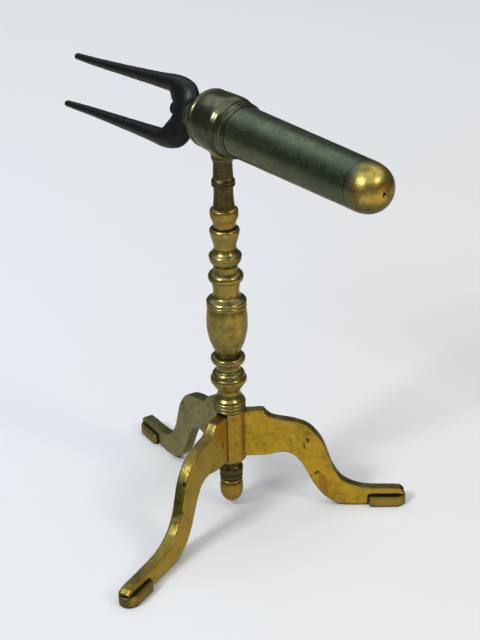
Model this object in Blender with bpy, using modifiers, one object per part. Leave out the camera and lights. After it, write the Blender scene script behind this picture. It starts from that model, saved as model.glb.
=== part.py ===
"""A brass goffering iron: a round-ended barrel that holds an iron heater with a two-pronged fork handle,
carried on a turned column over a tripod of cabriole legs.

Metres, +Z up. The origin is under the middle of the object's footprint, on the surface that the feet
stand on.
"""

import math

import bmesh
import bpy
from mathutils import Matrix, Vector

OBJECT_NAME = "goffering_iron"
MM = 0.001
GAP = 0.3 * MM  # clearance kept between pieces that touch
SEGMENTS = 28  # sides of a turned piece
COLUMN_X = -3.78  # the column's axis, from the middle of the footprint
COLUMN_Y = -12.32
STAND = Matrix.Translation((COLUMN_X * MM, COLUMN_Y * MM, 0.0))

# Barrel: stations run along its axis from the column, positive towards the domed end.
BARREL_Z = 263.6
BARREL_AZIMUTH = math.radians(-54.3)
BARREL_MOUTH = -12.0
TUBE_MOUTH_R = 15.3
TUBE_TIP_R = 14.2
TUBE_END = 126.0
TUBE_WALL = 1.8
DOME_TIP = 143.0
DOME_FULLNESS = 2.5  # power of the dome's superellipse: 2 is an ellipse, more is blunter
COLLAR_END = 22.5
COLLAR_R = 18.3
PRICK_HOLE_R = 0.9

# Heater: a loose slug that lies on the floor of the barrel's bore, with a fork riveted to its tang.
SLUG_R = 9.0
SLUG_DROP = 3.2
SLUG_END = 108.0
BRIDGE_STATION = -39.5
SHOULDER_STATION = 9.6  # from the middle of the bridge, towards the barrel, to its flat seat on the slug
HEAD_STATION = -6.9  # the same, away from the barrel, to the seat of the tang's riveted head
TANG_R = 3.2
HEAD_R = 4.7
HEAD_THICKNESS = 1.8
FORK_ROLL = math.radians(18.4)
FORK_DROOP = math.radians(4.65)
FORK_SET = 2.6  # how far the fork's middle line hangs under the tang
PRONG_LENGTH = 134.0
FORK_SIDES = 14

# Column and tripod.
FLANGE_TOP = 244.4
STEM_END = 198.0
CONE_KNOP_END = 173.2
BALUSTER_END = 111.8
LOWER_KNOP_END = 80.0
HUB_TOP = 72.2
HUB_BOTTOM = 35.0
HUB_R = 10.2
ROD_R = 2.6
ROD_BORE_R = 3.0
LEG_AZIMUTHS = {"right": -1.3, "front": -121.0, "back": 121.6}
LEG_THICKNESS = 7.5
LEG_ROOT_R = 7.2
PAD_HEIGHT = 7.4
PAD_LENGTH = 24.0
PAD_WIDTH = 13.5
LEG_CLEARANCE = 0.3
PATTERN_TOE = 113.0  # reach of the leg that the outline describes
TOE_REACH = {"right": 113.0, "front": 126.0, "back": 115.6}
ANKLE_REACH = 66.0  # beyond it a leg is drawn out to its own toe

BRASS = (0.42, 0.33, 0.12)
DULL_BRASS = (0.24, 0.22, 0.13)
IRON = (0.03, 0.032, 0.034)


def clear_scene():
    for found in list(bpy.data.objects):
        bpy.data.objects.remove(found, do_unlink=True)


def collection(name):
    made = bpy.data.collections.new(name)
    bpy.context.scene.collection.children.link(made)
    return made


def material(name, colour, roughness, metallic):
    made = bpy.data.materials.new(name)
    made.use_nodes = True
    shader = made.node_tree.nodes["Principled BSDF"]
    shader.inputs["Base Color"].default_value = (*colour, 1.0)
    shader.inputs["Roughness"].default_value = roughness
    shader.inputs["Metallic"].default_value = metallic
    return made


def add(name, data, surface, matrix=Matrix()):
    """One named part with a material of its own. matrix is relative to the foot of the column."""
    made = bpy.data.objects.new(name, data)
    parts.objects.link(made)
    colour, roughness, metallic = surface
    data.materials.append(material(name + "_surface", colour, roughness, metallic))
    made.matrix_world = STAND @ matrix
    return made


def add_cutter(cutter, matrix):
    cutters.objects.link(cutter)
    cutter.matrix_world = STAND @ matrix
    cutter.hide_render = True
    cutter.display_type = "WIRE"


def profile_mesh(name, points, closed):
    """A mesh of edges through (radius, height) points given in millimetres, outer side first."""
    mesh = bpy.data.meshes.new(name)
    places = [(radius * MM, 0.0, height * MM) for radius, height in points]
    edges = [(i, i + 1) for i in range(len(places) - 1)]
    if closed:
        edges.append((len(places) - 1, 0))
    mesh.from_pydata(places, edges, [])
    return mesh


def spin(made, segments):
    screw = made.modifiers.new("turn", "SCREW")
    screw.steps = segments
    screw.render_steps = segments
    screw.use_merge_vertices = True
    screw.merge_threshold = 0.00001
    screw.use_smooth_shade = True


def turned(name, outer, surface, bore=None, matrix=Matrix(), segments=SEGMENTS):
    """A turned piece. outer runs top to bottom; bore, where there is one, runs back from bottom to top."""
    points = outer + bore if bore else [(0.0, outer[0][1])] + outer + [(0.0, outer[-1][1])]
    made = add(name, profile_mesh(name, points, closed=bool(bore)), surface, matrix)
    spin(made, segments)
    return made


def straight_bore(radius, bottom, top):
    return [(radius, bottom), (radius, top)]


def arc(centre, radius, start, end, steps):
    """Points on an arc of the (radius, height) plane; the angles are in degrees."""
    found = []
    for i in range(steps + 1):
        angle = math.radians(start + (end - start) * i / steps)
        found.append((centre[0] + radius[0] * math.cos(angle), centre[1] + radius[1] * math.sin(angle)))
    return found


def dome(centre, reach, high, steps):
    """Points of a blunt dome, from near its tip down to its rim; high is the first angle in degrees."""
    found = []
    for i in range(steps + 1):
        angle = math.radians(high * (1.0 - i / steps))
        radius = reach[0] * math.cos(angle) ** (2.0 / DOME_FULLNESS)
        found.append((centre[0] + radius, centre[1] + reach[1] * math.sin(angle) ** (2.0 / DOME_FULLNESS)))
    return found


def barrel_matrix():
    """Turns local +Z onto the barrel's axis, with the origin over the column."""
    turn = Matrix.Rotation(BARREL_AZIMUTH, 4, "Z") @ Matrix.Rotation(math.pi / 2, 4, "Y")
    return Matrix.Translation((0.0, 0.0, BARREL_Z * MM)) @ turn


def heater_matrix():
    """The same for the heater, whose axis lies a little below the barrel's."""
    return Matrix.Translation((0.0, 0.0, -SLUG_DROP * MM)) @ barrel_matrix()


def cut_round(made, radius, high, low, matrix, name, segments):
    """Cuts a cylinder between two heights of matrix's own axis."""
    profile = [(0.0, high), (radius, high), (radius, low), (0.0, low)]
    cutter = bpy.data.objects.new(name + "_cutter", profile_mesh(name + "_cutter", profile, closed=False))
    add_cutter(cutter, matrix)
    spin(cutter, segments)
    cut(made, cutter, name)


def cut(made, cutter, name):
    boolean = made.modifiers.new(name, "BOOLEAN")
    boolean.operation = "DIFFERENCE"
    boolean.solver = "EXACT"
    boolean.object = cutter


def tube_radius(station):
    """Outer radius of the tapering barrel tube."""
    share = (station - COLLAR_END) / (TUBE_END - COLLAR_END)
    return TUBE_MOUTH_R + (TUBE_TIP_R - TUBE_MOUTH_R) * min(max(share, 0.0), 1.0)


def build_barrel():
    axis = barrel_matrix()
    tube_stations = (TUBE_END, 92.0, 58.0, COLLAR_END, BARREL_MOUTH + 1.0)
    outer = [(tube_radius(station), station) for station in tube_stations]
    bore = [(radius - TUBE_WALL, station) for radius, station in reversed(outer)]
    turned("barrel_tube", outer, (DULL_BRASS, 0.35, 1.0), bore, axis)

    rim = TUBE_TIP_R
    spigot = rim - TUBE_WALL - GAP / MM
    start = TUBE_END + GAP / MM
    depth = DOME_TIP - start
    outside = dome((0.0, start), (rim, depth), 85.0, 9)
    inside = arc((0.0, start), (spigot - 1.6, depth - 1.8), 0.0, 84.0, 6)
    outside[0] = (PRICK_HOLE_R, DOME_TIP)
    inside[-1] = (PRICK_HOLE_R, DOME_TIP - 1.8)
    skirt = [(spigot, start), (spigot, start - 6.0), (spigot - 1.6, start - 6.0)]
    turned("barrel_end_cap", outside + skirt, (BRASS, 0.25, 1.0), inside, axis)

    fit = TUBE_MOUTH_R + GAP / MM
    collar = [
        (fit + 0.4, COLLAR_END),
        (16.1, 19.2),
        (16.7, 18.8),
        (17.4, 16.6),
        (18.1, 12.6),
        (COLLAR_R, 7.4),
        (18.2, 1.0),
        (17.7, -5.0),
        (17.2, -8.2),
        (17.7, -9.0),
        (17.8, -10.4),
        (17.3, -11.6),
        (16.6, BARREL_MOUTH),
    ]
    sleeve = straight_bore(fit, BARREL_MOUTH, COLLAR_END)
    turned("mouth_collar", collar, (DULL_BRASS, 0.35, 1.0), sleeve, axis)


def build_saddle():
    """The pad between column and collar, hollowed to sit round the collar."""
    profile = [(8.4, 252.0), (8.4, 247.0), (7.4, 245.4), (7.0, 244.9), (7.0, FLANGE_TOP + GAP / MM)]
    saddle = turned("saddle_boss", profile, (BRASS, 0.35, 1.0))
    cut_round(saddle, COLLAR_R + GAP / MM, 40.0, -40.0, barrel_matrix(), "collar_seat", 64)


def fork_frame():
    """The fork's middle and its axes in heater coordinates: along, across and square to the prongs."""
    back = Vector((0.0, 0.0, -1.0))
    up = Vector((-1.0, 0.0, 0.0))
    side = back.cross(up)
    across = up * math.cos(FORK_ROLL) + side * math.sin(FORK_ROLL)
    along = back * math.cos(FORK_DROOP) - up * math.sin(FORK_DROOP)
    middle = back * -BRIDGE_STATION - up * FORK_SET
    return middle, along, across, along.cross(across).normalized()


def fork_sections():
    """Sections of the bar from one tip over the bridge to the other, each (inner edge, outer edge, half
    thickness), with an edge as (along, across) in the fork's plane, in mm."""
    tip = PRONG_LENGTH
    half = [
        ((tip, 15.2), (tip, 17.2), 1.0),
        ((tip - 1.5, 14.2), (tip - 1.5, 18.1), 1.9),
        ((tip - 5.0, 13.7), (tip - 5.0, 18.5), 2.4),
        ((100.0, 12.8), (100.0, 18.9), 3.0),
        ((60.0, 12.2), (60.0, 20.2), 4.0),
        ((30.0, 11.6), (30.0, 21.5), 5.0),
        ((17.0, 11.0), (14.0, 22.5), 5.6),
        ((14.0, 9.0), (4.0, 21.8), 6.0),
        ((12.4, 6.6), (-4.0, 19.2), 6.3),
        ((9.9, 4.0), (-9.4, 13.0), 6.5),
        ((8.0, 1.6), (-10.2, 5.6), 6.5),
    ]
    other = [((a, -b), (c, -d), thickness) for (a, b), (c, d), thickness in reversed(half)]
    return half + [((7.2, 0.0), (-10.2, 0.0), 6.5)] + other


def fork_mesh():
    middle, along, across, square = fork_frame()
    work = bmesh.new()
    rings = []
    for inner, outer, thickness in fork_sections():
        near = middle + along * inner[0] + across * inner[1]
        far = middle + along * outer[0] + across * outer[1]
        ring = []
        for i in range(FORK_SIDES):
            angle = 2.0 * math.pi * (i + 0.5) / FORK_SIDES
            flat = (near + far) / 2 + (far - near) / 2 * math.cos(angle)
            ring.append(work.verts.new((flat + square * thickness * math.sin(angle)) * MM))
        rings.append(ring)
    for first, second in zip(rings, rings[1:]):
        for i in range(FORK_SIDES):
            j = (i + 1) % FORK_SIDES
            work.faces.new((first[i], first[j], second[j], second[i]))
    work.faces.new(rings[0])
    work.faces.new(rings[-1])
    bmesh.ops.recalc_face_normals(work, faces=work.faces)
    mesh = bpy.data.meshes.new("heater_fork")
    work.to_mesh(mesh)
    work.free()
    return mesh


def build_heater():
    axis = heater_matrix()
    gap = GAP / MM
    face = BRIDGE_STATION + SHOULDER_STATION
    seat = BRIDGE_STATION + HEAD_STATION
    head = seat - gap
    slug = [
        (SLUG_R - 2.0, SLUG_END),
        (SLUG_R, SLUG_END - 3.0),
        (SLUG_R, -14.0),
        (SLUG_R - 0.4, face + gap + 2.0),
        (SLUG_R - 1.8, face + gap),
        (TANG_R, face + gap),
        (TANG_R, head),
        (HEAD_R, head),
        (HEAD_R - 0.5, head - HEAD_THICKNESS * 0.6),
        (HEAD_R - 2.2, head - HEAD_THICKNESS),
    ]
    turned("heater_slug", slug, (IRON, 0.7, 0.6), matrix=axis, segments=24)
    fork = add("heater_fork", fork_mesh(), (IRON, 0.6, 0.6), axis)
    reach = 30.0
    cut_round(fork, TANG_R + gap, seat + reach, seat - reach, axis, "tang_hole", 24)
    cut_round(fork, SLUG_R + 1.0, face + reach, face, axis, "slug_seat", 24)
    cut_round(fork, HEAD_R + 0.6, seat, seat - reach, axis, "head_seat", 24)


def build_column():
    brass = (BRASS, 0.35, 1.0)
    gap = GAP / MM
    stem = [
        (7.0, FLANGE_TOP), (6.9, 242.2), (6.3, 241.0), (5.6, 239.4), (6.0, 230.0),
        (6.6, 228.6), (7.3, 227.2), (7.3, 225.6), (6.4, 224.2), (6.0, 222.4), (6.7, 211.2),
        (8.5, 209.2), (8.7, 205.6), (7.6, 202.6), (6.9, 199.6), (6.6, STEM_END),
    ]
    turned("upper_stem", stem, brass, straight_bore(ROD_BORE_R, STEM_END, FLANGE_TOP))
    top = STEM_END - gap
    cone = [
        (8.6, top), (9.2, 196.2), (9.0, 194.2), (7.6, 190.4), (6.6, 186.4), (6.9, 184.2), (9.6, 180.6),
        (10.1, 179.6), (10.1, 177.4), (9.0, 175.0), (7.6, CONE_KNOP_END),
    ]
    turned("cone_knop", cone, brass, straight_bore(ROD_BORE_R, CONE_KNOP_END, top))
    top = CONE_KNOP_END - gap
    baluster = [
        (7.3, top), (7.2, 169.4), (9.8, 168.0), (11.0, 165.5), (9.8, 163.2), (8.9, 161.6), (7.6, 157.0),
        (8.0, 154.4), (11.4, 151.0), (12.5, 148.5), (12.5, 145.4), (12.0, 144.2), (12.6, 143.0),
        (12.8, 136.0), (12.7, 130.6), (12.1, 126.0), (11.0, 121.6), (9.2, 117.2), (7.4, BALUSTER_END),
    ]
    turned("baluster_urn", baluster, brass, straight_bore(ROD_BORE_R, BALUSTER_END, top))
    top = BALUSTER_END - gap
    lower = [
        (9.6, top), (10.8, 110.2), (10.8, 108.0), (9.4, 106.2), (7.7, 104.4), (7.6, 102.0), (9.6, 99.6),
        (10.4, 97.4), (11.5, 94.6), (11.0, 92.4), (9.0, 90.0), (7.6, 88.0), (7.2, 85.8), (8.2, 82.4),
        (9.6, LOWER_KNOP_END),
    ]
    turned("lower_knop", lower, brass, straight_bore(ROD_BORE_R, LOWER_KNOP_END, top))
    bore = straight_bore(ROD_BORE_R, HUB_TOP + gap, LOWER_KNOP_END - gap)
    turned("ring_stack", ring_profile(), brass, bore)


def ring_profile():
    """Three stacked beads between the column and the hub."""
    gap = GAP / MM
    top, bottom = LOWER_KNOP_END - gap, HUB_TOP + gap
    pitch = (top - bottom) / 3
    points = []
    for i in range(3):
        high = top - i * pitch
        points += [(9.7, high), (10.5, high - pitch * 0.35), (10.5, high - pitch * 0.65)]
    return points + [(9.9, bottom)]


def build_hub():
    brass = (BRASS, 0.4, 1.0)
    outer = [(HUB_R - 0.4, HUB_TOP), (HUB_R, HUB_TOP - 1.0), (HUB_R, HUB_BOTTOM + 3.0),
             (HUB_R - 1.4, HUB_BOTTOM + 0.6), (HUB_R - 3.2, HUB_BOTTOM)]
    hub = turned("tripod_hub", outer, brass, straight_bore(ROD_BORE_R, HUB_BOTTOM, HUB_TOP))
    slot_bottom = 38.6
    for name, azimuth in LEG_AZIMUTHS.items():
        bpy.ops.mesh.primitive_cube_add(size=1.0)
        cutter = bpy.context.object
        cutter.name = "slot_cutter_" + name
        for owner in cutter.users_collection:
            owner.objects.unlink(cutter)
        low, high = slot_bottom, HUB_TOP + 5.0
        inner, outer_r = LEG_ROOT_R - GAP / MM, HUB_R + 5.0
        turn = Matrix.Rotation(math.radians(azimuth), 4, "Z")
        place = Matrix.Translation(((inner + outer_r) / 2 * MM, 0.0, (low + high) / 2 * MM))
        width = LEG_THICKNESS + 2 * GAP / MM
        size = Matrix.Diagonal(((outer_r - inner) * MM, width * MM, (high - low) * MM, 1.0))
        add_cutter(cutter, turn @ place @ size)
        cut(hub, cutter, "slot_" + name)


def leg_outline(toe):
    """(distance from the column's axis, height, corner) round the leg's side view, drawn out to its toe."""
    over_pad = PAD_HEIGHT + GAP / MM
    heel = PATTERN_TOE + 0.5 - PAD_LENGTH - GAP / MM
    root_low, root_high = 38.9, 71.6
    pattern = [
        (LEG_ROOT_R, root_low, True), (LEG_ROOT_R, root_high, True), (21.5, 72.2, True), (24.4, 68.6, True),
        (28.5, 66.2, False), (42.0, 63.2, False), (51.4, 58.6, False), (58.8, 49.2, False),
        (62.8, 38.8, False), (66.4, 28.8, False), (72.6, 19.4, False), (82.5, 14.0, False),
        (92.0, 12.6, False), (102.0, 12.4, False), (PATTERN_TOE - 3.0, 12.0, True),
        (PATTERN_TOE, 9.4, True), (PATTERN_TOE - 1.0, over_pad, True),
        (heel, over_pad, True), (heel, LEG_CLEARANCE, True), (79.0, LEG_CLEARANCE, True),
        (69.0, 1.8, False), (61.2, 6.8, False), (54.8, 15.0, False), (49.8, 24.8, False),
        (44.8, 34.0, False), (40.0, 39.2, False), (33.0, 41.2, False), (24.0, 39.4, False),
        (HUB_R + 3.0, root_low, True),
    ]
    drawn_out = (toe - ANKLE_REACH) / (PATTERN_TOE - ANKLE_REACH)
    outline = []
    for reach, height, corner in pattern:
        beyond = max(reach - ANKLE_REACH, 0.0)
        if reach > heel - 1.0:
            reach += toe - PATTERN_TOE
        else:
            reach += beyond * (drawn_out - 1.0)
        outline.append((reach, height, corner))
    return outline


def leg_curve(toe):
    data = bpy.data.curves.new("leg_outline", "CURVE")
    data.dimensions = "2D"
    data.fill_mode = "BOTH"
    round_over = 0.5
    data.extrude = (LEG_THICKNESS / 2 - round_over) * MM
    data.bevel_depth = round_over * MM
    data.bevel_resolution = 0
    data.offset = -round_over * MM
    data.resolution_u = 2
    spline = data.splines.new("BEZIER")
    spline.use_cyclic_u = True
    outline = leg_outline(toe)
    spline.bezier_points.add(len(outline) - 1)
    for knot, (reach, height, corner) in zip(spline.bezier_points, outline):
        knot.co = (reach * MM, height * MM, 0.0)
        kind = "VECTOR" if corner else "AUTO"
        knot.handle_left_type = kind
        knot.handle_right_type = kind
    return data


def pad_curve(toe):
    """The foot pad seen from above: a long block with a rounded outer end."""
    data = bpy.data.curves.new("pad_outline", "CURVE")
    data.dimensions = "2D"
    data.fill_mode = "BOTH"
    round_over = 0.6
    data.extrude = (PAD_HEIGHT / 2 - round_over) * MM
    data.bevel_depth = round_over * MM
    data.bevel_resolution = 0
    data.offset = -round_over * MM
    data.resolution_u = 3
    half = PAD_WIDTH / 2
    end = toe + 0.5
    start = end - PAD_LENGTH
    corners = [
        (start, -half + 1.5), (start, half - 1.5), (start + 1.5, half), (end - 5.0, half),
        (end - 1.5, half - 2.5), (end, half - 5.0), (end, -half + 5.0),
        (end - 1.5, -half + 2.5), (end - 5.0, -half), (start + 1.5, -half),
    ]
    spline = data.splines.new("POLY")
    spline.use_cyclic_u = True
    spline.points.add(len(corners) - 1)
    for knot, (reach, across) in zip(spline.points, corners):
        knot.co = (reach * MM, across * MM, 0.0, 1.0)
    return data


def build_legs():
    stand_up = Matrix.Rotation(math.pi / 2, 4, "X")
    for name, azimuth in LEG_AZIMUTHS.items():
        turn = Matrix.Rotation(math.radians(azimuth), 4, "Z")
        toe = TOE_REACH[name]
        add("leg_" + name, leg_curve(toe), (BRASS, 0.35, 1.0), turn @ stand_up)
        lift = Matrix.Translation((0.0, 0.0, PAD_HEIGHT / 2 * MM))
        add("foot_pad_" + name, pad_curve(toe), (BRASS, 0.35, 1.0), turn @ lift)


def build_fixings():
    brass = (BRASS, 0.3, 1.0)
    gap = GAP / MM
    washer = [
        (6.4, HUB_BOTTOM - gap), (6.4, 31.4), (7.2, 30.6), (7.8, 28.4), (7.8, 24.6), (7.2, 22.4), (6.6, 21.6),
    ]
    turned("finial_washer", washer, brass, straight_bore(ROD_BORE_R, 21.6, HUB_BOTTOM - gap))
    acorn = [
        (6.8, 21.3), (7.3, 20.6), (7.3, 19.6), (6.7, 18.8), (7.4, 16.4), (7.6, 13.6), (7.2, 10.4),
        (6.0, 7.2), (3.9, 4.6), (1.7, 3.4), (0.0, 3.1),
    ]
    bore = [(0.0, 10.0), (ROD_BORE_R, 10.0), (ROD_BORE_R, 21.3)]
    made = add("acorn_finial", profile_mesh("acorn_finial", acorn + bore, closed=True), brass)
    drop_axis_edge(made)
    spin(made, SEGMENTS)
    rod = [(ROD_R - 0.4, 243.0), (ROD_R, 242.4), (ROD_R, 11.6), (ROD_R - 0.4, 11.0)]
    turned("tie_rod", rod, (IRON, 0.5, 0.9), segments=12)


def drop_axis_edge(made):
    """Drops the profile's edge that lies on the axis, so that the spun surface has no inner line."""
    work = bmesh.new()
    work.from_mesh(made.data)
    on_axis = [edge for edge in work.edges if all(abs(vert.co.x) < 1e-7 for vert in edge.verts)]
    bmesh.ops.delete(work, geom=on_axis, context="EDGES")
    work.to_mesh(made.data)
    work.free()


clear_scene()
parts = collection(OBJECT_NAME)
cutters = collection("cutters")
build_barrel()
build_saddle()
build_heater()
build_column()
build_hub()
build_legs()
build_fixings()
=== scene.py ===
"""An antique brass goffering iron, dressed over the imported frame.

The column, the barrel and the finial are turned, the legs and their pads cast, and the fork forged. Lengths are in mm
until a mesh is made."""

import math

import bmesh
import bpy
from mathutils import Matrix, Vector, noise


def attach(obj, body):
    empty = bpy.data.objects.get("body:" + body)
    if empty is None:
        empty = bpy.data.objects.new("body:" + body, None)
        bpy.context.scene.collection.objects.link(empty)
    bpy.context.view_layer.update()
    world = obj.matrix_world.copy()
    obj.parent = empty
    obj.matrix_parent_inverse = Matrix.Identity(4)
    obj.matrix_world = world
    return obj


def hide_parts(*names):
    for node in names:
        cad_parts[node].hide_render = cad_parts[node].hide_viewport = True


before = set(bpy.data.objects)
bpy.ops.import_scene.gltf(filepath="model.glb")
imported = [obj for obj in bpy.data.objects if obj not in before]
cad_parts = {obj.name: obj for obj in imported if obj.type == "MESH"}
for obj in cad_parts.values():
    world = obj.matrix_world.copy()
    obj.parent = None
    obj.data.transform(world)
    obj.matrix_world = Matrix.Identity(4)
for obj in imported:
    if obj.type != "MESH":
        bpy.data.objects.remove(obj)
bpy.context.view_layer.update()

MM = 0.001
GAP = 0.3  # mm between touching pieces, as in the frame

# Where the column and the barrel stand, in mm and degrees, as the frame has them.
COLUMN_X = -3.78
COLUMN_Y = -12.32
BARREL_Z = 263.6
BARREL_AZIMUTH = math.radians(-54.3)
STAND = Matrix.Translation((COLUMN_X * MM, COLUMN_Y * MM, 0.0))
BARREL = (STAND @ Matrix.Translation((0.0, 0.0, BARREL_Z * MM))
          @ Matrix.Rotation(BARREL_AZIMUTH, 4, "Z") @ Matrix.Rotation(math.pi / 2, 4, "Y"))

BARREL_MOUTH = -12.0
TUBE_MOUTH_R = 15.3
TUBE_TIP_R = 14.2
TUBE_END = 126.0
TUBE_WALL = 1.8
DOME_TIP = 143.0
DOME_FULLNESS = 2.5  # power of the dome's superellipse
COLLAR_END = 22.5
DOME_WALL = 1.8
PRICK_HOLE_R = 0.9
SPIGOT_DEPTH = 6.0  # how far the cap's skirt reaches into the tube
SPIGOT_WALL = 1.6

SLUG_R = 9.0
SLUG_DROP = 3.2
SLUG_END = 108.0
BRIDGE_STATION = -39.5
SHOULDER_STATION = 9.6  # from the middle of the bridge, towards the barrel, to its flat seat on the slug
HEAD_STATION = -6.9  # the same, away from the barrel, to the seat of the tang's riveted head
TANG_R = 3.2
HEAD_R = 4.7
HEAD_THICKNESS = 1.8
FORK_ROLL = math.radians(18.4)
FORK_DROOP = math.radians(4.65)
FORK_SET = 2.6
PRONG_LENGTH = 134.0
HEATER = Matrix.Translation((0.0, 0.0, -SLUG_DROP * MM)) @ BARREL

SADDLE_TOP = 252.0
SADDLE_HOLLOW_R = 18.6  # the collar's swell and the gap
FLANGE_TOP = 244.4
STEM_END = 198.0
CONE_KNOP_END = 173.2
BALUSTER_END = 111.8
LOWER_KNOP_END = 80.0
HUB_TOP = 72.2
HUB_BOTTOM = 35.0
HUB_R = 10.2
ROD_BORE_R = 3.0
RIB_PITCH = 1.5
RIB_COUNT = 6
TOP_RIB = 239.0
LEG_AZIMUTHS = {"right": -1.3, "front": -121.0, "back": 121.6}
LEG_THICKNESS = 7.5
LEG_ROUND_OVER = 1.2
LEG_SLOT_BOTTOM = 38.6
ROOT_LOW = 38.9
ROOT_HIGH = 71.6
LEG_ROOT_R = 7.2
PAD_HEIGHT = 7.4
PAD_LENGTH = 24.0
PAD_WIDTH = 13.5
PAD_ROUND_OVER = 0.9
LEG_CLEARANCE = 0.3
PATTERN_TOE = 113.0  # reach of the leg that the outline describes
TOE_REACH = {"right": 113.0, "front": 126.0, "back": 115.6}
ANKLE_REACH = 66.0  # beyond it a leg is drawn out to its own toe
ACORN_TOP = 21.3
THREAD_END = 10.0  # height where the hole in the acorn stops

TURNED_SIDES = 144  # facets round a turned piece

# Where the camera stands from the column's foot, in mm, and how it looks down and leans, in degrees.
CAMERA_PLACE = (8.0 + COLUMN_X, -826.5 + COLUMN_Y, 554.3)
CAMERA_PITCH = 26.89
CAMERA_ROLL = -1.36
CAMERA_LENS = 84.4


# ---------------------------------------------------------------- shapes

def catmull(before, start, end, after, share):
    """A point of the smooth curve from start to end."""
    a = 2.0 * start
    b = end - before
    c = 2.0 * before - 5.0 * start + 4.0 * end - after
    d = -before + 3.0 * start - 3.0 * end + after
    return 0.5 * (a + b * share + c * share ** 2 + d * share ** 3)


def trace(points, spacing=0.4, closed=False):
    """Dense points along an outline in mm. A third item that is true marks a sharp corner; the rest runs smoothly."""
    knots = [Vector(point[:2]) for point in points]
    sharp = [len(point) > 2 and bool(point[2]) for point in points]
    count = len(knots)
    found = []
    for i in range(count if closed else count - 1):
        j = (i + 1) % count
        start, end = knots[i], knots[j]
        at_first = not closed and i == 0
        at_last = not closed and j == count - 1
        before = 2.0 * start - end if sharp[i] or at_first else knots[i - 1]
        after = 2.0 * end - start if sharp[j] or at_last else knots[(j + 1) % count]
        steps = max(1, round((end - start).length / spacing))
        for step in range(steps):
            found.append(catmull(before, start, end, after, step / steps))
    if not closed:
        found.append(knots[-1])
    return found


def shade(mesh, angle=38.0):
    """Smooth shading with the edges sharper than angle, in degrees, kept."""
    mesh.shade_smooth()
    mesh.set_sharp_from_angle(angle=math.radians(angle))


def piece(name, mesh, matrix, body, slot, surface, *nodes):
    """One visible piece that rides on a body, stands for CAD nodes and carries a material. Its place is in its mesh."""
    mesh.transform(matrix)
    made = bpy.data.objects.new(name, mesh)
    bpy.context.scene.collection.objects.link(made)
    mesh.materials.clear()
    mesh.materials.append(surface)
    bpy.context.view_layer.update()
    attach(made, body)
    if nodes:
        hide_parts(*nodes)
    return made


def lathe(name, outer, bore=None, wobble=0.05, seed=0.0, sides=TURNED_SIDES):
    """A turned mesh from (radius, height) in mm, outer side from top to bottom. bore runs back up; without one the
    ends close on the axis. wobble is how far, in mm, the hand-finished surface strays from round."""
    profile = trace(outer)
    if bore:
        profile += trace(bore)
    else:
        profile = [Vector((0.0, profile[0].y))] + profile + [Vector((0.0, profile[-1].y))]
    work = bmesh.new()
    rings = []
    for point in profile:
        if point.x < 1e-4:
            rings.append([work.verts.new((0.0, 0.0, point.y * MM))] * sides)
            continue
        ring = []
        for i in range(sides):
            angle = 2.0 * math.pi * i / sides
            along = Vector((math.cos(angle), math.sin(angle), point.y * 0.06 + seed))
            radius = point.x - wobble * (0.5 + 0.5 * noise.noise(along * 1.7))
            ring.append(work.verts.new((radius * math.cos(angle) * MM, radius * math.sin(angle) * MM, point.y * MM)))
        rings.append(ring)
    if bore:
        rings.append(rings[0])
    for high, low in zip(rings, rings[1:]):
        for i in range(sides):
            j = (i + 1) % sides
            corners = []
            for corner in (high[i], low[i], low[j], high[j]):
                if corner not in corners:
                    corners.append(corner)
            if len(corners) > 2:
                work.faces.new(corners)
    bmesh.ops.recalc_face_normals(work, faces=work.faces)
    mesh = bpy.data.meshes.new(name)
    work.to_mesh(mesh)
    work.free()
    shade(mesh)
    return mesh


def arc(centre, reach, start, end, steps):
    """Points on an arc of the (radius, height) plane; the angles are in degrees."""
    found = []
    for i in range(steps + 1):
        angle = math.radians(start + (end - start) * i / steps)
        found.append((centre[0] + reach[0] * math.cos(angle), centre[1] + reach[1] * math.sin(angle)))
    return found


def dome(centre, reach, high, steps):
    """Points of a blunt dome, from near its tip down to its rim; high is the first angle in degrees."""
    found = []
    for i in range(steps + 1):
        angle = math.radians(high * (1.0 - i / steps))
        radius = reach[0] * math.cos(angle) ** (2.0 / DOME_FULLNESS)
        found.append((centre[0] + radius, centre[1] + reach[1] * math.sin(angle) ** (2.0 / DOME_FULLNESS)))
    return found


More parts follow.
